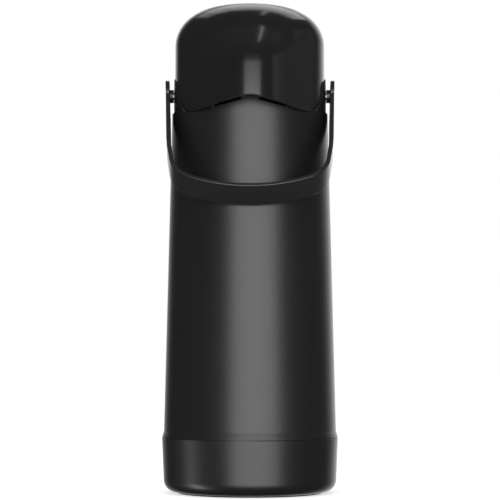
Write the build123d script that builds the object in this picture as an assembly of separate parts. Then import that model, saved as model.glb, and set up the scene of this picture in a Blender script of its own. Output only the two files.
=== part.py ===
from build123d import *
import os
from math import asin, atan, cos, pi, radians, sin, sqrt, tan

# A pump pot: a glass flask in a slim tapered casing, with a hinged pump head and a carrying bail.
# Millimetres. The origin is on the table at the middle of the base, +Z is up and the spout faces -Y.

# Base cup
foot_height = 3.0
foot_inset = 10.2
foot_seat_depth = 2.0
base_overhang = 1.45
base_taper = 1.85
base_edge_radius = 9.0
base_inner_corner = 4.5
base_lip_radius = 0.5
base_floor = 4.0
base_wall = 2.4
spigot_height = 7.0
spigot_wall = 2.2
locator_wall = 2.4
locator_height = 3.5

# Casing
seam_height = 40.5
casing_foot_radius = 63.6
casing_draft = 1.28
casing_wall = 2.2
casing_flare = 1.2
casing_flare_height = 5.0
casing_flare_lip = 0.6
rim_stand = 5.2
crest_rise = 7.6
crest_half_width = 36.0
crest_radius = 25.0
crest_run_out = 30.0
ear_rise = 30.8
ear_half_foot = 30.9
ear_half_tip = 8.8
ear_tip_radius = 8.0
ear_foot_radius = 24.0
ear_thickness = 6.1
ear_step = 1.24
ear_step_rise = 4.1
ear_root_rise = 1.8

# Flask
cushion_thickness = 7.0
cushion_radius = 27.0
cushion_hole_radius = 6.3
flask_clearance = 4.38
flask_height = 258.0
flask_corner = 28.0
flask_neck_corner = 7.0
flask_shoulder = 216.0
flask_neck_start = 234.0
flask_neck_radius = 26.5
mouth_radius = 20.5
glass = 1.6
vacuum_gap = 4.4
vacuum_gap_below = 9.0
lip_height = 2.0
tip_radius = 4.0
tip_point_radius = 2.0
tip_length = 4.0
spacer_width = 12.0
spacer_height = 9.0
spacer_rise = 42.0
spacer_count = 3
spacer_clearance = 0.1

# Neck collar and dip tube
gasket_thickness = 3.0
collar_mouth_height = 8.0
collar_mouth_wall = 4.5
collar_plate = 2.5
collar_drop = 1.5
collar_rim_height = 4.0
collar_rim_wall = 2.0
collar_seat_radius = 30.0
collar_bore_inset = 1.0
boss_radius = 4.0
boss_height = 12.0
boss_inset = 7.55
boss_count = 4
boss_web_reach = 4.0
screw_radius = 1.5
screw_head_radius = 3.0
screw_head_height = 2.0
screw_length = 11.0
holder_flange = 1.2
holder_seat = 2.2
holder_depth = 6.0
holder_wall = 2.0
holder_spoke = 3.0
tube_radius = 4.0
tube_wall = 1.2
tube_collar = 1.0
tube_offset = 9.0
tube_foot_gap = 6.0
tube_stand = 2.4
catch_half_width = 9.0
catch_play = 0.4
catch_wall = 1.9
catch_bead = 1.7
catch_bead_height = 1.8
catch_height = 7.5

# Pump head
lid_gap = 0.6
lid_step = 0.6
lid_wall = 2.4
lid_shoulder_rise = 69.5
lid_shoulder_inset = 18.4
lid_crown_edge_rise = 82.2
lid_crown_dome = 1.9
lid_shoulder_radius = 26.0
lid_crown_radius = 24.0
visor_reach = 16.0
visor_half_width = 38.0
visor_middle = 28.0
visor_full_rise = 31.3
visor_top_drop = 5.0
visor_sink = 0.35
visor_steps = 6
lid_base_plate = 3.0
lid_base_lift = 3.0
lid_screw_inset = 12.5
lid_screw_angle = 50.0
lid_boss_radius = 3.5
hinge_stand = 5.0
hinge_rise = 4.3
hinge_pin_radius = 1.5
knuckle_radius = 3.5
knuckle_half_inner = 11.7
knuckle_half_outer = 18.0
hinge_bracket_drop = 11.0
hinge_slot_rise = 7.0
hinge_slot_depth = 12.0
hinge_arm_root = 6.0
hinge_arm_reach = 1.75
seal_inner_radius = 20.8
seal_outer_radius = 26.0
packing_radius = 7.5
packing_clearance = 0.1

# Button and bellows
crown_land = 4.5
button_travel = 16.0
button_wall = 2.0
button_skirt = 16.0
guide_wall = 2.2
guide_depth = 24.0
plunger_radius = 11.0
plunger_wall = 2.0
bellows_radius = 30.0
bellows_fold = 5.5
bellows_wall = 1.1
bellows_folds = 7
bellows_height = 39.0
bellows_cap = 3.0
pump_plate_radius = 33.0
pump_plate = 3.0
pump_stand = 14.0
pump_wall = 2.0
duct_radius = 6.0
duct_bore = 4.0
duct_offset = 12.0
flap_thickness = 1.0
flap_radius = 6.5
spring_radius = 14.0
spring_wire = 0.9
spring_turns = 6

# Spout
spout_radius = 3.8
spout_bore = 2.8
spout_rise = 9.0
spout_bend = 5.0
spout_stand = 7.5
spout_flange_radius = 9.0
spout_flange = 1.5
nozzle_radius = 5.0
nozzle_tip_radius = 4.2
nozzle_tip_rise = 8.5
nozzle_length = 5.6
nozzle_overlap = 3.4

# Lid latch
latch_inset = 1.5
latch_rise = 11.8
latch_hub_radius = 2.8
latch_half_width = 20.0
latch_pin_radius = 1.2
latch_leg_inset = 4.5
latch_leg = 2.2
latch_leg_half_width = 6.5
latch_hook = 2.0
latch_hook_height = 1.8
latch_pad = 2.5
latch_pad_inner = 7.0
latch_post = 3.5
latch_swing_rise = 1.2

# Carrying bail
pivot_rise = 18.8
hub_length = 2.7
handle_thickness = 3.1
handle_width = 19.2
handle_drop = 108.4
handle_bar_radius = 107.0
handle_bar_slope = 21.4
handle_corner_inset = 7.6
handle_corner_radius = 25.8
handle_shoulder_inset = 2.7
handle_shoulder_drop = 60.9
handle_shoulder_radius = 140.0
handle_end_radius = 12.0
handle_edge = 0.7
hub_radius = 5.0
handle_pin_radius = 2.5
handle_pin_head_radius = 4.5
handle_pin_head = 2.6
handle_pin_cover = 1.1
hub_root = 1.55

# Clearances
running_fit = 0.08
seat_gap = 0.3
slide_gap = 0.4
air_gap = 0.6

far = 400.0


def casing_radius(height):
    return casing_foot_radius - (height - seam_height - casing_flare_height) * tan(radians(casing_draft))


# Heights that follow from the sizes above, from the table up
base_underside = foot_height - foot_seat_depth
flask_bottom = base_underside + base_floor + cushion_thickness
flask_top = flask_bottom + flask_height
collar_seat = flask_top + gasket_thickness
collar_top = collar_seat + collar_mouth_height
collar_floor = collar_seat - collar_drop
rim_height = collar_floor + rim_stand
crest_apex = rim_height + crest_rise
ear_height = rim_height + ear_rise
ear_step_height = rim_height + ear_step_rise
ear_root_height = rim_height + ear_root_rise
pivot_height = rim_height + pivot_rise
hinge_height = rim_height + hinge_rise
latch_height = rim_height + latch_rise
catch_top = collar_floor + collar_plate + catch_height
catch_underside = catch_top - catch_bead_height
latch_tip_height = catch_underside - latch_hook_height - latch_swing_rise - seat_gap
lid_underside = collar_top + lid_base_lift
lid_base_top = lid_underside + lid_base_plate
lid_shoulder_height = rim_height + lid_shoulder_rise
lid_crown_edge = rim_height + lid_crown_edge_rise
lid_crown_height = lid_crown_edge + lid_crown_dome
visor_full_height = rim_height + visor_full_rise
visor_top_height = lid_crown_edge - visor_top_drop
pump_plate_low = lid_base_top + pump_stand
bellows_low = pump_plate_low + pump_plate
bellows_high = bellows_low + bellows_height
spout_height = lid_base_top + spout_rise
nozzle_tip_height = rim_height + nozzle_tip_rise

# Distances from the axis that follow, from the casing inwards and outwards
base_rim_radius = casing_foot_radius + base_overhang
base_foot_radius = base_rim_radius - base_taper
foot_radius = base_foot_radius - foot_inset
flask_radius = casing_radius(flask_top) - casing_wall - flask_clearance
boss_ring_radius = casing_radius(collar_floor) - boss_inset
collar_bore = mouth_radius - collar_bore_inset
ear_outer_radius = casing_radius(ear_step_height) - ear_step
ear_inner_face = ear_outer_radius - ear_thickness
lid_radius = ear_outer_radius - lid_step
ear_pocket_floor = ear_inner_face - lid_gap
lid_screw_ring = lid_radius - lid_screw_inset
button_radius = lid_radius - lid_shoulder_inset - crown_land
hinge_offset = lid_radius + hinge_stand
spout_reach = lid_radius + spout_stand
latch_offset = lid_radius - latch_inset
latch_leg_face = latch_offset - latch_leg_inset
catch_face = latch_leg_face - latch_hook - catch_play - catch_bead - catch_wall
handle_half_width = ear_outer_radius + seat_gap + hub_length + handle_thickness
handle_corner_half_width = handle_half_width - handle_corner_inset


def turned(points):
    return revolve(Plane.XZ * make_face(Polyline(*points, close=True)), Axis.Z)


def ring(inner, outer, low, high, x=0, y=0):
    return disc(outer, low, high, x, y) - disc(inner, low, high, x, y)


def disc(radius, low, high, x=0, y=0):
    return Pos(x, y, (low + high) / 2) * Cylinder(radius, high - low)


def block(x_span, y_span, z_span):
    size = [span[1] - span[0] for span in (x_span, y_span, z_span)]
    middle = [(span[1] + span[0]) / 2 for span in (x_span, y_span, z_span)]
    return Pos(*middle) * Box(*size)


def rod(radius, x_span, y, z):
    middle = (x_span[0] + x_span[1]) / 2
    return Pos(middle, y, z) * Rot(0, 90, 0) * Cylinder(radius, x_span[1] - x_span[0])


def round_places(radius, count, start=45.0):
    angles = [radians(start + 360.0 * step / count) for step in range(count)]
    return [(radius * cos(angle), radius * sin(angle)) for angle in angles]


def screw(x, y, seat, length, head_up=True):
    side = 1 if head_up else -1
    head = sorted((seat, seat + side * screw_head_height))
    shank = sorted((seat, seat - side * length))
    return disc(screw_head_radius, *head, x, y) + disc(screw_radius, *shank, x, y)


# Casing top edge

def crest_outline(grow):
    # Front view of the casing's top edge: low at the sides, with a soft peak behind the visor.
    low, high = rim_height + grow, crest_apex + grow
    points = [(-far, low), (-crest_half_width, low), (0, high), (crest_half_width, low), (far, low)]
    return points, [crest_run_out, crest_radius, crest_run_out]


def ear_outline(grow):
    # Side view of one ear: a rounded tab with flared feet.
    low, high = rim_height + grow, ear_height + grow
    lean = (ear_half_foot - ear_half_tip) / (ear_height - rim_height)
    spread = grow * (sqrt(1 + lean * lean) - lean)
    foot, tip = ear_half_foot + spread, ear_half_tip + spread
    points = [(-far, low), (-foot, low), (-tip, high), (tip, high), (foot, low), (far, low)]
    return points, [ear_foot_radius, ear_tip_radius, ear_tip_radius, ear_foot_radius]


def below(points, radii):
    top = FilletPolyline(*points, radius=radii)
    sides = Polyline(points[-1], (far, -far), (-far, -far), points[0])
    return make_face(top + sides)


def ear_space(grow, face):
    # The space beside the body that the ears take, outside a flat face on each side.
    slab = extrude(Plane.YZ * below(*ear_outline(grow)), amount=far, both=True)
    return slab & (block((face, far), (-far, far), (0, far)) + block((-far, -face), (-far, far), (0, far)))


def crest_space(grow):
    slab = extrude(Plane.XZ * below(*crest_outline(grow)), amount=far, both=True)
    return slab & block((-far, far), (-far, 0), (0, far))


def rim_space(grow):
    flat = block((-far, far), (-far, far), (-far, rim_height + grow))
    return flat + crest_space(grow) + ear_space(grow, ear_half_foot)


# Pot body

def make_base_cup():
    spigot_radius = casing_radius(seam_height) - casing_wall - seat_gap
    floor_top = base_underside + base_floor
    outside = turned([(0, base_underside), (base_foot_radius, base_underside),
                      (base_rim_radius, seam_height), (0, seam_height)])
    outside = fillet(outside.edges().sort_by(Axis.Z)[0], base_edge_radius)
    outside = fillet(outside.edges().sort_by(Axis.Z)[-1], base_lip_radius)
    ledge = seam_height - spigot_height
    inside = turned([(0, floor_top), (base_foot_radius - base_wall - base_inner_corner, floor_top),
                     (base_foot_radius - base_wall, floor_top + base_inner_corner),
                     (base_rim_radius - base_wall, ledge),
                     (spigot_radius - spigot_wall, ledge + spigot_wall),
                     (spigot_radius - spigot_wall, seam_height), (0, seam_height)])
    foot_seat = disc(foot_radius + seat_gap / 2, base_underside, base_underside + foot_seat_depth)
    spigot = ring(spigot_radius - spigot_wall, spigot_radius, seam_height, seam_height + spigot_height)
    locator_bore = cushion_radius + seat_gap
    locator = ring(locator_bore, locator_bore + locator_wall, floor_top, floor_top + locator_height)
    return outside - inside - foot_seat + spigot + locator


def make_foot_pad():
    return disc(foot_radius, 0, foot_height)


def make_outer_casing():
    flare_top = seam_height + casing_flare_height
    foot_inner = casing_radius(seam_height) - casing_wall
    top_radius = casing_radius(ear_height)
    wall = turned([(foot_inner, seam_height), (casing_radius(seam_height) + casing_flare, seam_height),
                   (casing_radius(seam_height) + casing_flare, seam_height + casing_flare_lip),
                   (casing_radius(flare_top), flare_top), (top_radius, ear_height),
                   (top_radius - casing_wall, ear_height)])
    core = turned([(0, seam_height), (casing_foot_radius, seam_height), (top_radius, ear_height),
                   (0, ear_height)])
    lugs = core & ear_space(0, ear_inner_face) & block((-far, far), (-far, far), (ear_root_height, far))
    casing = (wall & rim_space(0)) + lugs
    step = ring(ear_outer_radius, far, ear_step_height, far)
    casing -= step & (block((ear_half_foot, far), (-far, far), (0, far))
                      + block((-far, -ear_half_foot), (-far, far), (0, far)))
    boss_low = collar_floor - boss_height
    webs = round_places(boss_ring_radius + boss_web_reach, boss_count)
    for (x, y), (web_x, web_y) in zip(round_places(boss_ring_radius, boss_count), webs):
        boss = disc(boss_radius, boss_low, collar_floor, x, y)
        boss += disc(boss_radius, boss_low, collar_floor, web_x, web_y)
        casing += boss & disc(casing_radius(collar_floor) - casing_wall / 2, 0, far)
        casing -= disc(screw_radius + running_fit, boss_low, collar_floor, x, y)
    for side in (-1, 1):
        low, high = sorted((side * knuckle_half_inner + side * seat_gap, side * knuckle_half_outer))
        casing += make_pot_knuckle((low, high))
        pin = sorted((side * ear_inner_face, side * far))
        head = sorted((side * ear_inner_face, side * (ear_inner_face + handle_pin_head + seat_gap)))
        casing -= rod(handle_pin_radius + running_fit, pin, 0, pivot_height)
        casing -= rod(handle_pin_head_radius + running_fit, head, 0, pivot_height)
    return casing


def make_pot_knuckle(span):
    inner = casing_radius(hinge_height) - casing_wall / 2
    outer = hinge_offset + knuckle_radius
    low = hinge_height - hinge_bracket_drop
    points = [(inner, low), (hinge_offset, low), (outer, low + knuckle_radius), (outer, hinge_height),
              (hinge_offset - knuckle_radius, hinge_height), (hinge_offset - knuckle_radius, rim_height),
              (inner, rim_height)]
    bracket = Plane.YZ * make_face(Polyline(*points, close=True))
    body = extrude(bracket, amount=span[1] - span[0])
    body = Pos(span[0], 0, 0) * body
    hub = rod(knuckle_radius, span, hinge_offset, hinge_height)
    bore = rod(hinge_pin_radius + running_fit, span, hinge_offset, hinge_height)
    return body + hub - bore


# Flask

def flask_form(radius, bottom, shoulder, neck_start, neck_radius, top, corner):
    points = [(0, bottom), (radius, bottom), (radius, shoulder), (neck_radius, neck_start),
              (neck_radius, top), (0, top)]
    outline = FilletPolyline(*points, radius=[0, corner, corner, flask_neck_corner, 0, 0], close=True)
    return revolve(Plane.XZ * make_face(outline), Axis.Z)


def make_flask_outer():
    shoulder = flask_bottom + flask_shoulder
    neck = flask_bottom + flask_neck_start
    top = flask_top - lip_height
    shell = flask_form(flask_radius, flask_bottom, shoulder, neck, flask_neck_radius, top, flask_corner)
    shell -= flask_form(flask_radius - glass, flask_bottom + glass, shoulder - glass, neck - glass,
                        flask_neck_radius - glass, top, flask_corner - glass)
    tip_middle = flask_bottom + (glass - tip_length) / 2
    tip = Pos(0, 0, tip_middle) * Cone(tip_point_radius, tip_radius, tip_length + glass)
    return shell + tip


def make_flask_inner():
    radius = flask_radius - glass - vacuum_gap
    bottom = flask_bottom + glass + vacuum_gap_below
    shoulder = flask_bottom + flask_shoulder - vacuum_gap
    neck = flask_bottom + flask_neck_start - glass
    outer = flask_form(radius, bottom, shoulder, neck, mouth_radius + glass, flask_top, flask_corner)
    outer += disc(flask_neck_radius, flask_top - lip_height, flask_top)
    return outer - flask_form(radius - glass, bottom + glass, shoulder - glass, neck - glass,
                              mouth_radius, flask_top, flask_corner - glass)


def make_flask_spacers():
    outer = flask_radius - glass - spacer_clearance
    inner = flask_radius - glass - vacuum_gap + spacer_clearance
    low = flask_bottom + spacer_rise
    band = ring(inner, outer, low, low + spacer_height)
    sector = block((0, far), (-spacer_width / 2, spacer_width / 2), (0, far))
    pads = []
    for step in range(spacer_count):
        pad = band & Rot(0, 0, 360.0 * step / spacer_count) * sector
        pads += pad.solids()
    return Compound(pads)


def make_flask_cushion():
    low = base_underside + base_floor
    pad = disc(cushion_radius, low, flask_bottom)
    return pad - disc(cushion_hole_radius, low, flask_bottom)


def make_neck_gasket():
    return ring(collar_bore, flask_neck_radius + seat_gap, flask_top, collar_seat)


def make_neck_collar():
    outer = casing_radius(collar_floor + collar_rim_height) - casing_wall - seat_gap
    top = collar_floor + collar_plate
    mouth = collar_bore + collar_mouth_wall
    step = collar_top - holder_flange
    rim_top = collar_floor + collar_rim_height
    seat = collar_bore + holder_seat
    collar = turned([(collar_bore, collar_seat), (collar_seat_radius, collar_seat),
                     (collar_seat_radius, collar_floor), (outer, collar_floor), (outer, rim_top),
                     (outer - collar_rim_wall, rim_top), (outer - collar_rim_wall, top),
                     (collar_seat_radius, top), (mouth, collar_seat + collar_plate), (mouth, collar_top),
                     (seat, collar_top), (seat, step), (collar_bore, step)])
    for x, y in round_places(boss_ring_radius, boss_count):
        collar -= disc(screw_head_radius + seat_gap, top, far, x, y)
        collar -= disc(screw_radius + seat_gap, 0, far, x, y)
    catch_span = (-catch_half_width, catch_half_width)
    rib_face = catch_face + catch_wall
    rib = block(catch_span, (-rib_face, -catch_face), (top, catch_top))
    bead = block(catch_span, (-rib_face - catch_bead, -catch_face), (catch_underside, catch_top))
    return collar + rib + bead


def make_collar_screws():
    seat = collar_floor + collar_plate
    screws = []
    for x, y in round_places(boss_ring_radius, boss_count):
        screws += screw(x, y, seat, screw_length).solids()
    return Compound(screws)


def make_tube_holder():
    outer = collar_bore - seat_gap
    inner = outer - holder_wall
    step = collar_top - holder_flange
    flange = ring(inner, collar_bore + holder_seat - seat_gap, step, collar_top)
    sleeve = ring(inner, outer, step - holder_depth, step)
    hub = disc(tube_radius + holder_wall, step - holder_depth, step, 0, -tube_offset)
    spoke = block((-outer, outer), (-tube_offset - holder_spoke / 2, -tube_offset + holder_spoke / 2),
                  (step - holder_depth, step - holder_depth + holder_spoke)) & disc(outer, 0, far)
    front = block((-holder_spoke / 2, holder_spoke / 2), (-inner - holder_wall / 2, -tube_offset),
                  (step - holder_depth, step))
    bore = disc(tube_radius + running_fit, 0, far, 0, -tube_offset)
    return flange + sleeve + hub + spoke + front - bore


def make_dip_tube():
    low = flask_bottom + 2 * glass + vacuum_gap_below + tube_foot_gap
    step = collar_top - holder_flange
    tube = disc(tube_radius, low, collar_top + tube_stand, 0, -tube_offset)
    collar = disc(tube_radius + tube_collar, step, step + holder_flange, 0, -tube_offset)
    return tube + collar - disc(tube_radius - tube_wall, low, far, 0, -tube_offset)


# Pump head

def head_radius(height):
    # Plan radius of the round head: a straight wall, a rounded shoulder and a sloping crown.
    rise = lid_crown_edge - lid_shoulder_height
    lean = atan(lid_shoulder_inset / rise)
    arc_start = lid_shoulder_height - lid_shoulder_radius * tan(lean / 2)
    climb = height - arc_start
    if climb <= 0:
        return lid_radius
    if climb < lid_shoulder_radius * sin(lean):
        return lid_radius - lid_shoulder_radius + sqrt(lid_shoulder_radius ** 2 - climb ** 2)
    return lid_radius - (height - lid_shoulder_height) * lid_shoulder_inset / rise


def visor_form(inset, low):
    # The visor is an oval that stands forward of the round head and fades into its shoulder.
    sections = []
    for step in range(visor_steps + 1):
        share = step / visor_steps
        height = visor_full_height + (visor_top_height - visor_full_height) * share
        swell = (1 + visor_sink) * (1 + cos(pi * share)) / 2 - visor_sink
        radius = head_radius(height)
        middle = visor_middle * radius / lid_radius
        width = visor_half_width * radius / lid_radius
        depth = radius + visor_reach * swell - middle
        sections.append(Pos(0, -middle, height) * Ellipse(width - inset, depth - inset))
    return extrude(sections[0], amount=low - visor_full_height) + loft(sections)


def head_form(inset, low=rim_height):
    # The solid outer form of the head, taken in by one wall or gap all over.
    edge = lid_radius - inset
    points = [(0, low), (edge, low), (edge, lid_shoulder_height - inset / 2),
              (edge - lid_shoulder_inset, lid_crown_edge - inset), (0, lid_crown_height - inset)]
    radii = [0, 0, lid_shoulder_radius - inset, lid_crown_radius - inset, 0]
    outline = FilletPolyline(*points, radius=radii, close=True)
    return revolve(Plane.XZ * make_face(outline), Axis.Z) + visor_form(inset, low)


def make_lid_shell():
    shell = head_form(0) - rim_space(lid_gap) - ear_space(lid_gap, ear_pocket_floor)
    cavity = head_form(lid_wall)
    boss_limit = head_form(lid_wall / 2)
    cavity -= ear_space(lid_gap + lid_wall, ear_pocket_floor - lid_wall)
    shell -= cavity
    inner = button_radius + slide_gap
    shell += ring(inner, inner + guide_wall, lid_crown_edge - guide_depth, lid_crown_edge)
    for x, y in lid_screw_places():
        boss = disc(lid_boss_radius, lid_base_top, lid_crown_height, x, y) & boss_limit
        shell += boss - disc(screw_radius + running_fit, lid_base_top, lid_base_top + screw_length, x, y)
    shell -= disc(inner, lid_crown_edge - guide_depth, far)
    slot = knuckle_half_outer + air_gap
    shell -= block((-slot, slot), (lid_radius - hinge_slot_depth, far), (0, hinge_height + hinge_slot_rise))
    return shell


def lid_screw_places():
    across = lid_screw_ring * cos(radians(lid_screw_angle))
    along = lid_screw_ring * sin(radians(lid_screw_angle))
    return [(x, y) for x in (-across, across) for y in (-along, along)]


def make_lid_base():
    edge = lid_radius - lid_wall - slide_gap
    flat = ear_pocket_floor - lid_wall - slide_gap
    plate = disc(edge, lid_underside, lid_base_top) & block((-flat, flat), (-far, far), (0, far))
    slot = latch_half_width + air_gap
    plate -= block((-slot, slot), (-far, -catch_face - air_gap), (0, far))
    post_outer = slot + latch_post
    hinge_low = hinge_offset - knuckle_radius
    arm_span = (-knuckle_half_inner, knuckle_half_inner)
    arm = block(arm_span, (edge - hinge_arm_root, hinge_offset), (lid_underside, lid_base_top))
    drop = block(arm_span, (hinge_low, hinge_offset + hinge_arm_reach), (hinge_height, lid_base_top))
    knuckle = rod(knuckle_radius, arm_span, hinge_offset, hinge_height)
    base = plate + arm + drop + knuckle
    base -= rod(hinge_pin_radius + running_fit, (-far, far), hinge_offset, hinge_height)
    for side in (-1, 1):
        span = sorted((side * slot, side * post_outer))
        floor = (lid_underside + air_gap, lid_base_top)
        base += block(span, (-latch_offset - latch_post, -catch_face), floor)
        base += block(span, (-latch_offset - latch_post, -latch_offset + latch_post),
                      (floor[0], latch_height + latch_post))
    base -= rod(latch_pin_radius + running_fit, (-far, far), -latch_offset, latch_height)
    base -= disc(packing_radius + packing_clearance, lid_underside, lid_base_top, 0, -tube_offset)
    base -= disc(duct_bore, lid_underside, lid_base_top, 0, duct_offset)
    for x, y in lid_screw_places():
        base -= disc(screw_radius + seat_gap, lid_underside, lid_base_top, x, y)
    return base


def make_lid_screws():
    screws = []
    for x, y in lid_screw_places():
        screws += screw(x, y, lid_underside, screw_length, head_up=False).solids()
    return Compound(screws)


def make_lid_seal():
    return ring(seal_inner_radius, seal_outer_radius, collar_top + seat_gap, lid_underside)


def make_tube_packing():
    low = collar_top + tube_stand + seat_gap
    return ring(spout_bore, packing_radius, low, lid_base_top, 0, -tube_offset)


def make_pump_plate():
    plate = disc(pump_plate_radius, pump_plate_low, bellows_low)
    wall = ring(pump_plate_radius - pump_wall, pump_plate_radius, lid_base_top, pump_plate_low)
    gate = spout_radius + air_gap
    wall -= block((-gate, gate), (-far, 0), (0, pump_plate_low))
    duct = ring(duct_bore, duct_radius, lid_base_top, pump_plate_low, 0, duct_offset)
    return plate + wall + duct - disc(duct_bore, lid_base_top, bellows_low, 0, duct_offset)


def make_valve_flap():
    return disc(flap_radius, bellows_low, bellows_low + flap_thickness, 0, duct_offset)


def make_bellows():
    pitch = bellows_height / bellows_folds
    outer = []
    for fold in range(bellows_folds):
        low = bellows_low + fold * pitch
        outer += [(bellows_radius - bellows_fold, low), (bellows_radius, low + pitch / 2)]
    outer.append((bellows_radius - bellows_fold, bellows_high))
    inner = [(radius - bellows_wall, height) for radius, height in reversed(outer)]
    return turned(outer + inner)


def make_return_spring():
    rise = bellows_height - 2 * spring_wire - 2 * seat_gap
    low = bellows_low + spring_wire + seat_gap
    path = Pos(0, 0, low) * Helix(rise / spring_turns, rise, spring_radius)
    wire = Plane(path @ 0, z_dir=path % 0) * Circle(spring_wire)
    return sweep(wire, path, is_frenet=True)


def make_push_button():
    low = lid_crown_edge - button_skirt
    cap_low = lid_crown_edge - button_wall
    cap = head_form(seat_gap) & disc(button_radius, cap_low, lid_crown_height)
    skirt = ring(button_radius - button_wall, button_radius, low, cap_low)
    return cap + skirt


def make_plunger():
    cap = disc(bellows_radius - bellows_fold, bellows_high, bellows_high + bellows_cap)
    stem = ring(plunger_radius - plunger_wall, plunger_radius, bellows_high + bellows_cap,
                lid_crown_edge - button_wall)
    return cap + stem


# Spout

def make_spout_pipe():
    pipe_end = nozzle_tip_height + nozzle_length - nozzle_overlap
    path = FilletPolyline((0, -tube_offset, lid_base_top), (0, -tube_offset, spout_height),
                          (0, -spout_reach, spout_height), (0, -spout_reach, pipe_end), radius=spout_bend)
    start = Plane((0, -tube_offset, lid_base_top))
    pipe = sweep(start * Circle(spout_radius), path) - sweep(start * Circle(spout_bore), path)
    flange = ring(spout_radius - seat_gap, spout_flange_radius, lid_base_top, lid_base_top + spout_flange,
                  0, -tube_offset)
    return pipe + flange


def make_nozzle():
    top = nozzle_tip_height + nozzle_length
    socket_low = top - nozzle_overlap
    body = turned([(0, nozzle_tip_height), (nozzle_tip_radius, nozzle_tip_height),
                   (nozzle_radius, socket_low), (nozzle_radius, top), (0, top)])
    body = Pos(0, -spout_reach, 0) * body
    body -= disc(spout_bore, nozzle_tip_height, top, 0, -spout_reach)
    return body - disc(spout_radius + running_fit, socket_low, top, 0, -spout_reach)


# Latch

def make_latch_lever():
    hub = rod(latch_hub_radius, (-latch_half_width, latch_half_width), -latch_offset, latch_height)
    leg_span = (-latch_leg_half_width, latch_leg_half_width)
    leg_front = -latch_leg_face - latch_leg
    leg = block(leg_span, (leg_front, -latch_leg_face), (latch_tip_height, latch_height))
    hook = block(leg_span, (leg_front, -latch_leg_face + latch_hook),
                 (latch_tip_height, latch_tip_height + latch_hook_height))
    pad_low = latch_height - latch_hub_radius
    pads = block((-latch_half_width, latch_half_width), (-far, -latch_offset),
                 (pad_low, pad_low + latch_pad))
    pads -= block((-latch_pad_inner, latch_pad_inner), (-far, -latch_offset - latch_hub_radius / 2),
                  (0, far))
    pads &= visor_form(lid_wall + 2 * air_gap, rim_height)
    bore = rod(latch_pin_radius + running_fit, (-far, far), -latch_offset, latch_height)
    return hub + leg + hook + pads - bore


def make_latch_pin():
    reach = latch_half_width + air_gap + latch_post
    return rod(latch_pin_radius, (-reach, reach), -latch_offset, latch_height)


# Bail

def handle_tilt():
    # At rest the back edge of the bail's bar lies against the front of the tapered casing.
    back_reach = sqrt((handle_drop - handle_thickness) ** 2 + (handle_width / 2) ** 2)
    back_angle = atan(handle_width / 2 / (handle_drop - handle_thickness))
    draft = radians(casing_draft)
    stand_off = casing_radius(pivot_height) + seat_gap
    return draft + asin(stand_off * cos(draft) / back_reach) + back_angle


def handle_plane():
    tilt = handle_tilt()
    normal = (0, -cos(tilt), sin(tilt))
    return Plane(origin=(0, 0, pivot_height), x_dir=(1, 0, 0), z_dir=normal)


def make_carry_handle():
    slope = radians(handle_bar_slope)
    peak = handle_bar_radius * (1 / cos(slope) - 1)
    corner_drop = handle_drop + peak - handle_corner_half_width * tan(slope)
    arm_slope = handle_shoulder_inset / handle_shoulder_drop
    right = [(handle_half_width + handle_end_radius * arm_slope, handle_end_radius),
             (handle_half_width - handle_shoulder_inset, -handle_shoulder_drop),
             (handle_corner_half_width, -corner_drop)]
    left = [(-x, y) for x, y in reversed(right)]
    path = FilletPolyline(*right, (0, -handle_drop - peak), *left,
                          radius=[handle_shoulder_radius, handle_corner_radius, handle_bar_radius,
                                  handle_corner_radius, handle_shoulder_radius])
    strap = make_face(offset(path, amount=handle_thickness, side=Side.RIGHT))
    strap = extrude(handle_plane() * strap, amount=handle_end_radius, both=True)
    length = handle_drop + peak
    flat = handle_plane() * Pos(0, -length / 2, 0) * Box(far, length, handle_width)
    bail = strap & (flat + rod(handle_end_radius, (-far, far), 0, pivot_height))
    bail = fillet(bail.edges().filter_by(lambda edge: edge.length > handle_width), handle_edge)
    for side in (-1, 1):
        inner = ear_outer_radius + seat_gap
        hub = sorted((side * inner, side * (handle_half_width - hub_root)))
        hole = sorted((side * inner, side * (handle_half_width - handle_pin_cover)))
        bail += rod(hub_radius, hub, 0, pivot_height)
        bail -= rod(handle_pin_radius + running_fit, hole, 0, pivot_height)
    return bail


def make_handle_pins():
    pins = []
    inner = ear_inner_face + seat_gap
    for side in (-1, 1):
        head = sorted((side * inner, side * (inner + handle_pin_head)))
        shank = sorted((side * inner, side * (handle_half_width - handle_pin_cover - seat_gap)))
        pin = rod(handle_pin_head_radius, head, 0, pivot_height)
        pin += rod(handle_pin_radius, shank, 0, pivot_height)
        pins += pin.solids()
    return Compound(pins)


def make_hinge_pin():
    return rod(hinge_pin_radius, (-knuckle_half_outer, knuckle_half_outer), hinge_offset, hinge_height)


nodes = {
    "foot_pad": make_foot_pad(),
    "base_cup": make_base_cup(),
    "outer_casing": make_outer_casing(),
    "flask_cushion": make_flask_cushion(),
    "flask_outer": make_flask_outer(),
    "flask_inner": make_flask_inner(),
    "flask_spacers": make_flask_spacers(),
    "neck_gasket": make_neck_gasket(),
    "neck_collar": make_neck_collar(),
    "collar_screws": make_collar_screws(),
    "tube_holder": make_tube_holder(),
    "dip_tube": make_dip_tube(),
    "handle_pins": make_handle_pins(),
    "hinge_pin": make_hinge_pin(),
    "carry_handle": make_carry_handle(),
    "lid_shell": make_lid_shell(),
    "lid_base": make_lid_base(),
    "lid_seal": make_lid_seal(),
    "lid_screws": make_lid_screws(),
    "tube_packing": make_tube_packing(),
    "pump_plate": make_pump_plate(),
    "valve_flap": make_valve_flap(),
    "bellows": make_bellows(),
    "return_spring": make_return_spring(),
    "push_button": make_push_button(),
    "plunger": make_plunger(),
    "spout_pipe": make_spout_pipe(),
    "nozzle": make_nozzle(),
    "latch_lever": make_latch_lever(),
    "latch_pin": make_latch_pin(),
}

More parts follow.
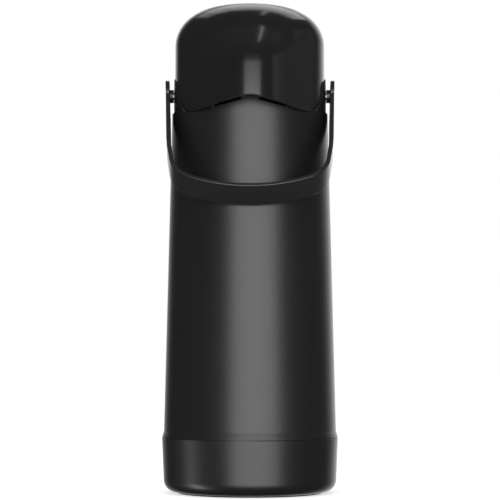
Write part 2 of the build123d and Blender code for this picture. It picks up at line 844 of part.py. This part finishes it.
os.makedirs("parts", exist_ok=True)
for name, shape in nodes.items():
    export_step(shape, f"parts/{name}.step")
    print(name, len(shape.solids()))
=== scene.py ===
import math

import bmesh
import bpy
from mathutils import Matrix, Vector
from numpy import arange, clip, cos, interp, maximum, sin, sqrt


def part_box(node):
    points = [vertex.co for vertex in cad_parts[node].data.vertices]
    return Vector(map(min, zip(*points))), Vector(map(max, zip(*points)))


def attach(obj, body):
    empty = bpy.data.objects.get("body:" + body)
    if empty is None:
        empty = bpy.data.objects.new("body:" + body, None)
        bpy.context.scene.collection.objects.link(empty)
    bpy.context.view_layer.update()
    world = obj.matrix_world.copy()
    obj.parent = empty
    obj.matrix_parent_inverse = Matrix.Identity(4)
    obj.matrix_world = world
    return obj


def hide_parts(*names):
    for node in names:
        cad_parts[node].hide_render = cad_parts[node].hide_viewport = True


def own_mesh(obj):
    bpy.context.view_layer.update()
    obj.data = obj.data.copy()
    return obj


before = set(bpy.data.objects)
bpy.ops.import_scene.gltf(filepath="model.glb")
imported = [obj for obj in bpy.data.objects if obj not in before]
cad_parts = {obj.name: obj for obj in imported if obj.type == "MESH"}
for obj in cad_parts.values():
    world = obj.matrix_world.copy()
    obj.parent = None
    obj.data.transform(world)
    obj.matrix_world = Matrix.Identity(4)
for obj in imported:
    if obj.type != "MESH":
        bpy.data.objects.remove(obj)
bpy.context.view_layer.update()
bpy.context.scene.view_settings.view_transform = "Standard"
mm = 0.001
print("frame loaded")


# shader maths on sockets, written as Python
class Value:
    def __init__(self, finish, socket):
        self.finish = finish
        self.socket = socket

    def maths(self, operation, *items):
        node = self.finish.node("ShaderNodeMath", {"operation": operation}, *items)
        return Value(self.finish, node.outputs[0])

    def __add__(self, other):
        return self.maths("ADD", self, other)

    __radd__ = __add__

    def __sub__(self, other):
        return self.maths("SUBTRACT", self, other)

    def __rsub__(self, other):
        return self.maths("SUBTRACT", other, self)

    def __mul__(self, other):
        return self.maths("MULTIPLY", self, other)

    __rmul__ = __mul__

    def __pow__(self, other):
        return self.maths("POWER", self, other)

    def stretch(self, low, high, start=0.0, end=1.0):  # low..high becomes start..end, held at both ends
        node = self.finish.node("ShaderNodeMapRange", {"clamp": True}, self, low, high, start, end)
        return Value(self.finish, node.outputs[0])


class Finish:
    def __init__(self, name, world=None):  # a new material, or the world itself
        self.material = world or bpy.data.materials.new(name)
        self.material.use_nodes = True
        self.tree = self.material.node_tree
        self.tree.nodes.clear()

    def node(self, kind, settings=None, *inputs, **named):
        node = self.tree.nodes.new(kind)
        for key, value in (settings or {}).items():
            setattr(node, key, value)
        for place, value in list(enumerate(inputs)) + list(named.items()):
            key = place if isinstance(place, int) else place.replace("_", " ")
            self.feed(node.inputs[key], value)
        return node

    def feed(self, socket, value):
        if value is None:
            return
        if isinstance(value, Value):
            self.tree.links.new(value.socket, socket)
        elif isinstance(value, bpy.types.NodeSocket):
            self.tree.links.new(value, socket)
        else:
            socket.default_value = value

    def place(self):  # position on the piece, in metres
        return self.node("ShaderNodeTexCoord").outputs["Object"]

    def noise(self, scale, detail=3.0, roughness=0.5, stretch=(1, 1, 1)):
        spot = self.node("ShaderNodeMapping", None, self.place(), Scale=stretch).outputs[0]
        node = self.node("ShaderNodeTexNoise", None, Vector=spot, Scale=scale, Detail=detail,
                         Roughness=roughness)
        return Value(self, node.outputs[0])

    def blend(self, share, first, second):  # one colour shades into another
        node = self.node("ShaderNodeMix", {"data_type": "RGBA"})
        self.feed(node.inputs[0], share)
        self.feed(node.inputs[6], first)
        self.feed(node.inputs[7], second)
        return node.outputs[2]

    def bump(self, height, distance, under=None):
        node = self.node("ShaderNodeBump", None, Strength=1.0, Distance=distance, Height=height, Normal=under)
        return node.outputs[0]

    def shade(self, **sockets):
        shader = self.node("ShaderNodeBsdfPrincipled", None, **sockets)
        self.node("ShaderNodeOutputMaterial", None, shader.outputs[0])


def rgba(red, green, blue):
    return (red, green, blue, 1.0)


# black mouldings
blacks = {
    # colour, worn colour, roughness, spread of roughness, specular level, grain size per metre, grain depth
    "satinBlack": (rgba(0.0185, 0.0185, 0.0190), rgba(0.024, 0.024, 0.025), 0.352, 0.05, 0.36, 5200, 0.012),
    "glossBlack": (rgba(0.0170, 0.0170, 0.0175), rgba(0.021, 0.021, 0.022), 0.17, 0.04, 0.36, 900, 0.004),
    "baseBlack": (rgba(0.0185, 0.0185, 0.0190), rgba(0.024, 0.024, 0.025), 0.34, 0.05, 0.335, 3000, 0.008),
    "handleBlack": (rgba(0.0300, 0.0300, 0.0305), rgba(0.036, 0.036, 0.037), 0.30, 0.06, 0.40, 2600, 0.008),
}
polish = {
    "cloudScale": 38, "cloudDepth": 0.02, "cloudWear": 0.35, "wipeScale": 260, "wipeRun": (1, 1, 0.06),
    "speckScale": 2100, "speckFrom": 0.72, "speckFull": 0.80, "speckWear": 0.4, "speckDulls": 0.12,
}


def blackPlastic(name, colour, worn, roughness, spread, level, grain, depth):
    # moulded plastic: fine spark-eroded grain, cloudy polish, faint wiping marks round the body
    look = Finish(name)
    clouds = look.noise(polish["cloudScale"], 4)
    wiped = look.noise(polish["wipeScale"], 3, 0.6, polish["wipeRun"])
    specks = look.noise(polish["speckScale"], 2).stretch(polish["speckFrom"], polish["speckFull"])
    shine = roughness + spread * (clouds - 0.5) + 0.5 * spread * (wiped - 0.5) + polish["speckDulls"] * specks
    colourNow = look.blend(polish["cloudWear"] * clouds + polish["speckWear"] * specks, colour, worn)
    fine = look.bump(look.noise(grain, 2), depth * mm)
    look.shade(Base_Color=colourNow, Roughness=shine, Specular_IOR_Level=level, IOR=1.5,
               Normal=look.bump(clouds, polish["cloudDepth"] * mm, fine))
    return look.material


# plain mouldings and rubber
plains = {
    # colour, roughness, grain depth
    "innerPlastic": (rgba(0.030, 0.030, 0.032), 0.42, 0.01),
    "bellowsWhite": (rgba(0.62, 0.61, 0.57), 0.45, 0.01),
    "silicone": (rgba(0.55, 0.54, 0.50), 0.38, 0.01),
    "blackRubber": (rgba(0.014, 0.014, 0.014), 0.72, 0.03),
}
dulling = {"scale": 60, "from": 0.3, "full": 0.7, "share": 0.5, "shade": 0.82, "roughens": 0.12, "grain": 3000}


def plainPlastic(name, colour, roughness, depth):
    look = Finish(name)
    clouds = look.noise(dulling["scale"], 4)
    share = clouds.stretch(dulling["from"], dulling["full"]) * dulling["share"]
    dulled = look.blend(share, colour, rgba(*[dulling["shade"] * part for part in colour[:3]]))
    look.shade(Base_Color=dulled, Roughness=roughness + dulling["roughens"] * (clouds - 0.5), IOR=1.5,
               Normal=look.bump(look.noise(dulling["grain"], 2), depth * mm))
    return look.material


# metal and silvered glass
steelSet = {"colour": rgba(0.58, 0.57, 0.55), "drawScale": 900, "drawRun": (0.08, 1, 1), "drawDepth": 0.006,
            "roughness": 0.24, "spread": 0.16}
glassSet = {"colour": rgba(0.80, 0.79, 0.76), "rippleScale": 45, "rippleDepth": 0.3, "roughness": 0.06,
            "spread": 0.06, "coatRoughness": 0.03}


def drawnSteel():
    look = Finish("steel")
    drawn = look.noise(steelSet["drawScale"], 3, 0.6, steelSet["drawRun"])
    look.shade(Base_Color=steelSet["colour"], Metallic=1.0,
               Roughness=steelSet["roughness"] + steelSet["spread"] * drawn,
               Normal=look.bump(drawn, steelSet["drawDepth"] * mm))
    return look.material


def silveredGlass():
    look = Finish("flaskGlass")
    ripple = look.noise(glassSet["rippleScale"], 3)
    look.shade(Base_Color=glassSet["colour"], Metallic=1.0,
               Roughness=glassSet["roughness"] + glassSet["spread"] * ripple, Coat_Weight=1.0,
               Coat_Roughness=glassSet["coatRoughness"], Normal=look.bump(ripple, glassSet["rippleDepth"] * mm))
    return look.material


finishes = {name: blackPlastic(name, *numbers) for name, numbers in blacks.items()}
finishes.update({name: plainPlastic(name, *numbers) for name, numbers in plains.items()})
finishes["steel"] = drawnSteel()
finishes["flaskGlass"] = silveredGlass()

nodeFinish = {
    "satinBlack": ["outer_casing"],
    "baseBlack": ["base_cup"],
    "glossBlack": ["lid_shell", "push_button"],
    "handleBlack": ["carry_handle", "latch_lever"],
    "innerPlastic": ["neck_collar", "lid_base", "tube_holder", "pump_plate", "nozzle", "spout_pipe", "plunger",
                     "dip_tube"],
    "bellowsWhite": ["bellows"],
    "silicone": ["neck_gasket", "lid_seal", "tube_packing", "valve_flap"],
    "blackRubber": ["foot_pad", "flask_cushion", "flask_spacers"],
    "flaskGlass": ["flask_inner", "flask_outer"],
    "steel": ["collar_screws", "lid_screws", "handle_pins", "hinge_pin", "latch_pin", "return_spring"],
}
for finishName, nodes in nodeFinish.items():
    for node in nodes:
        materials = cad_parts[node].data.materials
        materials.clear()
        materials.append(finishes[finishName])
print("finishes made")


# outlines
def rounded(points, radii, steps=14):  # a line of runs with each inner corner turned into an arc
    points = [Vector(point) for point in points]
    line = [points[0]]
    for before, corner, after, radius in zip(points, points[1:], points[2:], radii):
        inward = (before - corner).normalized()
        onward = (after - corner).normalized()
        half = inward.angle(onward) / 2
        centre = corner + (inward + onward).normalized() * radius / math.sin(half)
        first = corner + inward * radius / math.tan(half) - centre
        last = corner + onward * radius / math.tan(half) - centre
        line += [centre + radius * first.slerp(last, step / steps).normalized() for step in range(steps + 1)]
    return line + [points[-1]]


def heightOver(line, spot):  # how high a line is over a spot on the ground
    return interp(spot, [point[0] for point in line], [point[1] for point in line])


def along(line, share):  # the point at a share of the line's length
    lengths = [0.0]
    for first, second in zip(line, line[1:]):
        lengths.append(lengths[-1] + (second - first).length)
    return [interp(share * lengths[-1], lengths, [point[axis] for point in line]) for axis in range(2)]


def makePiece(name, form, body, finish, smoothAngle=40):
    bmesh.ops.recalc_face_normals(form, faces=form.faces)
    for face in form.faces:
        face.smooth = True
    for edge in form.edges:
        edge.smooth = len(edge.link_faces) == 2 and edge.calc_face_angle() < math.radians(smoothAngle)
    mesh = bpy.data.meshes.new(name)
    form.to_mesh(mesh)
    form.free()
    piece = bpy.data.objects.new(name, mesh)
    bpy.context.scene.collection.objects.link(piece)
    mesh.materials.append(finishes[finish])
    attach(piece, body)
    return piece


def copyNode(node, merge=0.002):  # a CAD node's mesh, with its loose triangles joined
    form = bmesh.new()
    form.from_mesh(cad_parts[node].data)
    bmesh.ops.remove_doubles(form, verts=form.verts, dist=merge * mm)
    return form


# pump head, one smooth skin: the visor flows into the round shell without a crease
headSet = {
    "radius": 56.5, "rim": 276.7, "gap": 0.6, "shoulder": 346.2, "shoulderInset": 18.4, "crownEdge": 358.9,
    "crownTop": 360.8, "shoulderRadius": 26.0, "crownRadius": 24.0, "opening": 34.0, "skin": 1.2,
    "visorHalfWidth": 38.0, "visorMiddle": 28.0, "visorReach": 16.0, "visorFull": 308.0, "visorTop": 353.9,
    "visorSink": 0.35, "blend": 60, "sides": 1440, "leastFacing": 0.3,
    "columns": 400, "rows": 64, "wallShare": 0.55, "merge": 0.01, "edgeRound": 0.35, "edgeAngle": 50,
    "crestRise": 7.6, "crestHalf": 36.0, "crestRadii": (30.0, 25.0, 30.0), "beyond": 80,
    "earRise": 30.8, "earFoot": 30.9, "earTip": 8.8, "earRadii": (24.0, 8.0, 8.0, 24.0), "earSide": 30.9,
}
meridian = rounded([(headSet["radius"], headSet["rim"]), (headSet["radius"], headSet["shoulder"]),
                    (headSet["radius"] - headSet["shoulderInset"], headSet["crownEdge"]),
                    (0, headSet["crownTop"])],
                   [headSet["shoulderRadius"], headSet["crownRadius"]])
sides = arange(0, 2 * math.pi, 2 * math.pi / headSet["sides"])


def lowerEdge(x, y):  # the shell's wavy lower edge: over the crest in front, over an ear on each side
    low = headSet["rim"] + headSet["gap"]
    wide = headSet["beyond"]
    high = low
    if y < 0:
        half, top = headSet["crestHalf"], low + headSet["crestRise"]
        crest = rounded([(-wide, low), (-half, low), (0, top), (half, low), (wide, low)], headSet["crestRadii"])
        high = heightOver(crest, x)
    if abs(x) > headSet["earSide"]:
        lean = (headSet["earFoot"] - headSet["earTip"]) / headSet["earRise"]
        spread = headSet["gap"] * (math.hypot(1, lean) - lean)
        foot, tip, top = headSet["earFoot"] + spread, headSet["earTip"] + spread, low + headSet["earRise"]
        ear = rounded([(-wide, low), (-foot, low), (-tip, top), (tip, top), (foot, low), (wide, low)],
                      headSet["earRadii"])
        high = max(high, heightOver(ear, y))
    return high


def headOutline(turn, radius, height):
    # the plan at one height is the tightest smooth loop round the shell's circle and the visor's oval
    share = clip((height - headSet["visorFull"]) / (headSet["visorTop"] - headSet["visorFull"]), 0, 1)
    swell = (1 + headSet["visorSink"]) * (1 + math.cos(math.pi * share)) / 2 - headSet["visorSink"]
    middle = headSet["visorMiddle"] * radius / headSet["radius"]
    width = headSet["visorHalfWidth"] * radius / headSet["radius"]
    depth = radius + headSet["visorReach"] * swell - middle
    visor = sqrt((width * cos(sides)) ** 2 + (depth * sin(sides)) ** 2) - middle * sin(sides)
    reach = radius * (1 + (maximum(visor, 0) / radius) ** headSet["blend"]) ** (1 / headSet["blend"])
    return (reach / maximum(cos(sides - turn), headSet["leastFacing"])).min()


def makeHeadSkin():
    form = bmesh.new()
    bmesh.ops.create_grid(form, x_segments=headSet["columns"], y_segments=headSet["rows"], size=0.5)
    opening = headSet["opening"]
    bend = [point for point in meridian[1:] if point[0] > opening]
    bend.append(Vector((opening, heightOver(meridian[::-1], opening))))
    split = headSet["wallShare"]
    for vert in form.verts:  # the grid wraps round the head: wall below, shoulder and crown above
        turn = 2 * math.pi * (vert.co.x + 0.5)
        rise = vert.co.y + 0.5
        if rise < split:
            radius = headSet["radius"]
            low = headOutline(turn, radius, headSet["rim"])
            start = lowerEdge(low * math.cos(turn), low * math.sin(turn))
            height = start + (bend[0][1] - start) * rise / split
        else:
            radius, height = along(bend, (rise - split) / (1 - split))
        out = headOutline(turn, radius, height)
        vert.co = Vector((out * math.cos(turn), out * math.sin(turn), height)) * mm
    bmesh.ops.remove_doubles(form, verts=form.verts, dist=headSet["merge"] * mm)
    skin = makePiece("headSkin", form, "lid", "glossBlack")
    thick = skin.modifiers.new("thickness", "SOLIDIFY")
    thick.thickness = headSet["skin"] * mm
    thick.offset = -1
    thick.use_even_offset = True
    soft = skin.modifiers.new("edge", "BEVEL")
    soft.width = headSet["edgeRound"] * mm
    soft.segments = 2
    soft.limit_method = "ANGLE"
    soft.angle_limit = math.radians(headSet["edgeAngle"])
    return skin


# under the skin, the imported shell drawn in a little: inner wall, ear pockets, bosses, guide sleeve
liningSet = {"core": 40.0, "drawnIn": 0.993, "drawnDown": 0.994, "smoothAngle": 25}


def makeHeadLining():
    form = copyNode("lid_shell")
    rim = headSet["rim"] * mm
    for vert in form.verts:
        if math.hypot(vert.co.x, vert.co.y) > liningSet["core"] * mm:
            vert.co.x *= liningSet["drawnIn"]
            vert.co.y *= liningSet["drawnIn"]
        if vert.co.z > rim:
            vert.co.z = rim + (vert.co.z - rim) * liningSet["drawnDown"]
    return makePiece("headLining", form, "lid", "innerPlastic", liningSet["smoothAngle"])


skin = makeHeadSkin()
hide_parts("lid_shell")
lining = makeHeadLining()
print("head made")


# pump button, on the same curve as the head
buttonSet = {"radius": 33.6, "wall": 2.0, "rimRound": 0.9, "rimStart": 1.5, "innerRound": 1, "sunk": 0.4,
             "steps": 160, "merge": 0.001, "smoothAngle": 45}


def makePushButton():
    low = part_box("push_button")[0][2] / mm
    outer, wall, inner = buttonSet["radius"], buttonSet["wall"], buttonSet["innerRound"]
    crown = [(point[0], point[1] - buttonSet["sunk"]) for point in meridian]
    edge = heightOver(crown[::-1], outer)
    slope = [point for point in crown if point[0] < outer - buttonSet["rimStart"]]
    top = rounded([(outer, low), (outer, edge), slope[0]], [buttonSet["rimRound"]])
    inside = [(0, crown[-1][1] - wall), (outer - wall - inner, edge - wall),
              (outer - wall, edge - wall - inner), (outer - wall, low)]
    points = top + [Vector(point) for point in slope[1:] + inside]
    form = bmesh.new()
    verts = [form.verts.new((max(width, 0) * mm, 0, height * mm)) for width, height in points]
    edges = [form.edges.new(pair) for pair in zip(verts, verts[1:] + verts[:1])]
    bmesh.ops.spin(form, geom=verts + edges, cent=(0, 0, 0), axis=(0, 0, 1), angle=2 * math.pi,
                   steps=buttonSet["steps"], use_merge=True)
    bmesh.ops.remove_doubles(form, verts=form.verts, dist=buttonSet["merge"] * mm)
    return makePiece("pushButton", form, "button", "glossBlack", buttonSet["smoothAngle"])


button = makePushButton()
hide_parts("push_button")
print("button made")


def makeFolding(name, node, finish):
    piece = makePiece(name, copyNode(node), "lid", finish)
    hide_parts(node)
    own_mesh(piece)


makeFolding("pumpBellows", "bellows", "bellowsWhite")
makeFolding("pressSpring", "return_spring", "steel")
print("pump made")


# studio
studio = {
    "cameraDistance": 1.180, "cameraHeight": 0.083, "cameraPitch": 4.68, "lens": 114.048, "sensor": 36,
    "frontLevel": 0.075, "faceShine": 0.036, "backLevel": 1.9, "backStart": 0.69, "backCurve": 1.5,
    "rightShare": 0.15, "topShare": 0.15, "fillLevel": 0.5,
    "floorSize": 12.0, "floorColour": 0.80, "floorLift": 0.66,
    # upright panels: azimuth, width, bottom, top, radiance
    "panelDistance": 1.7,
    "bodyPanel": (5.6, 2.0, -0.7, 1.45, 5.3),
    "headStrip": [(5.7, 1.26, -0.4, 0.54, 6.4), (5.7, 1.26, -0.4, 0.60, 2.6), (5.7, 1.26, -0.4, 1.1, 0.5),
                  (5.7, 1.26, -0.4, 1.75, 0.3)],
    "rightPanel": [(65, 0.5, -0.4, 1.35, 0.20), (73, 1.0, -0.4, 1.35, 0.14), (87, 1.96, -0.4, 1.35, 0.10)],
    "baseStrip": (-83, 0.40, -0.5, 0.5, 2.2), "footStrip": (-80, 0.5, -1.6, -0.5, 8.0),
    # flat panels over the head, soft at the front and at the sides: middle, width, front edge, radiance
    "topPanel": [(0.5, 1.7, 0.02, 0.5), (0.3, 2.2, 0.18, 0.8), (0.1, 2.7, 0.36, 1.2)],
    "topHeight": 2.0, "topBack": 1.6,
    "planeStep": 0.02,  # a ray meets only one lamp in a plane, so lamps that overlap are a step apart
    "topStrip": ((0.36, -0.12, 1.97), (0.36, -0.12, 0), (0.08, 0.60), 4.0),  # spot, aim, size, radiance
    "overhead": ((0, -0.6, 1.87), (0, 0, 0.18), (1.6, 1.6), 1.0),
}


def makeCamera():
    camera = bpy.data.cameras.new("camera")
    camera.lens = studio["lens"]
    camera.sensor_width = studio["sensor"]
    rig = bpy.data.objects.new("camera", camera)
    rig.location = (0, -studio["cameraDistance"], studio["cameraHeight"])
    rig.rotation_euler = (math.radians(90 + studio["cameraPitch"]), 0, 0)
    bpy.context.scene.collection.objects.link(rig)
    bpy.context.scene.camera = rig


def raysOf(look):  # 1 for rays from the camera, and 1 for rays seen in a shiny face or through glass
    path = look.node("ShaderNodeLightPath")
    direct, shiny, through = [Value(look, path.outputs["Is %s Ray" % kind])
                              for kind in ("Camera", "Glossy", "Transmission")]
    return direct, shiny.maths("MAXIMUM", shiny, through)


def makeWorld():
    # A dim room in front that turns white behind the object, sooner on the right. The front grows
    # dimmer sideways as a shiny face grows brighter there, so dark plastic keeps one level up to its edge.
    world = bpy.data.worlds.new("studio")
    look = Finish("studio", world)
    bpy.context.scene.world = world
    toCamera, toShine = raysOf(look)
    direction = look.node("ShaderNodeSeparateXYZ", None, look.node("ShaderNodeTexCoord").outputs["Generated"])
    across, ahead, up = [Value(look, direction.outputs[axis]) for axis in range(3)]
    graze = 1 - ((1 - ahead) * 0.5) ** 0.5
    front = studio["frontLevel"] * studio["faceShine"] * (studio["faceShine"] + graze ** 5.0) ** -1.0
    behind = ahead + studio["rightShare"] * across + studio["topShare"] * up.maths("MAXIMUM", up, 0.0)
    back = studio["backLevel"] * behind.stretch(studio["backStart"], 1.0) ** studio["backCurve"]
    fill = studio["fillLevel"] * (1 - toShine) + (front + back) * toShine
    strength = fill * (1 - toCamera) + toCamera
    background = look.node("ShaderNodeBackground", None, rgba(1, 1, 1), strength)
    look.node("ShaderNodeOutputWorld", None, background.outputs[0])


def makeFloor():  # matt, lifted to white for the camera alone, and keeping the object's shadow
    mesh = bpy.data.meshes.new("floor")
    form = bmesh.new()
    bmesh.ops.create_grid(form, x_segments=1, y_segments=1, size=studio["floorSize"] / 2)
    form.to_mesh(mesh)
    form.free()
    floor = bpy.data.objects.new("floor", mesh)
    bpy.context.scene.collection.objects.link(floor)
    look = Finish("floor")
    toCamera, _ = raysOf(look)
    matt = look.node("ShaderNodeBsdfDiffuse", None, rgba(*[studio["floorColour"]] * 3))
    lift = look.node("ShaderNodeEmission", None, rgba(1, 1, 1), studio["floorLift"] * toCamera)
    both = look.node("ShaderNodeAddShader", None, matt.outputs[0], lift.outputs[0])
    look.node("ShaderNodeOutputMaterial", None, both.outputs[0])
    mesh.materials.append(look.material)
    floor.visible_glossy = False
    floor.visible_shadow = False


def makeLamp(name, spot, aim, size, radiance, diffuse=False, glossy=True, only=(), leaving=()):
    # a lamp may light only some pieces, or leave some out
    lamp = bpy.data.lights.new(name, "AREA")
    lamp.shape = "RECTANGLE"
    lamp.size, lamp.size_y = size
    lamp.energy = radiance * math.pi * size[0] * size[1]
    rig = bpy.data.objects.new(name, lamp)
    rig.location = spot
    rig.rotation_euler = (Vector(aim) - Vector(spot)).to_track_quat("-Z", "Y").to_euler()
    rig.visible_diffuse = diffuse
    rig.visible_glossy = glossy
    rig.visible_camera = False
    bpy.context.scene.collection.objects.link(rig)
    if only or leaving:
        chosen = bpy.data.collections.new(name)
        for piece in only or leaving:
            chosen.objects.link(piece)
        rig.light_linking.receiver_collection = chosen
        for member in chosen.collection_objects:
            member.light_linking.link_state = "INCLUDE" if only else "EXCLUDE"


def makePanel(name, azimuth, width, low, high, radiance, plane=0, **pieces):
    # an upright panel round the object: azimuth 0 is the camera's side, positive to the right
    turn, height = math.radians(azimuth), (low + high) / 2
    away = studio["panelDistance"] + studio["planeStep"] * plane
    spot = (away * math.sin(turn), -away * math.cos(turn), height)
    makeLamp(name, spot, (0, 0, height), (width, high - low), radiance, **pieces)


makeCamera()
makeWorld()
makeFloor()
headPieces = [skin, button, lining]
basePieces = [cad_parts["base_cup"]]
innerNodes = ("nozzle", "spout_pipe", "lid_base", "neck_collar", "tube_holder")
innerPieces = [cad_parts[node] for node in innerNodes]
makePanel("bodyPanel", *studio["bodyPanel"], leaving=headPieces + innerPieces)
for number, panel in enumerate(studio["headStrip"]):
    makePanel("headStrip%d" % number, *panel, plane=number, only=headPieces)
for number, panel in enumerate(studio["rightPanel"]):
    makePanel("rightPanel%d" % number, *panel, only=headPieces)
makePanel("baseStrip", *studio["baseStrip"], only=basePieces)
makePanel("footStrip", *studio["footStrip"], plane=1, only=basePieces)
for number, (middle, width, edge, radiance) in enumerate(studio["topPanel"]):
    ahead, deep = (edge + studio["topBack"]) / 2, studio["topBack"] - edge
    spot = (middle, ahead, studio["topHeight"] + studio["planeStep"] * number)
    makeLamp("topPanel%d" % number, spot, (middle, ahead, 0), (width, deep), radiance, only=headPieces)
makeLamp("topStrip", *studio["topStrip"], only=headPieces)
makeLamp("overhead", *studio["overhead"], diffuse=True, glossy=False)
print("studio made")
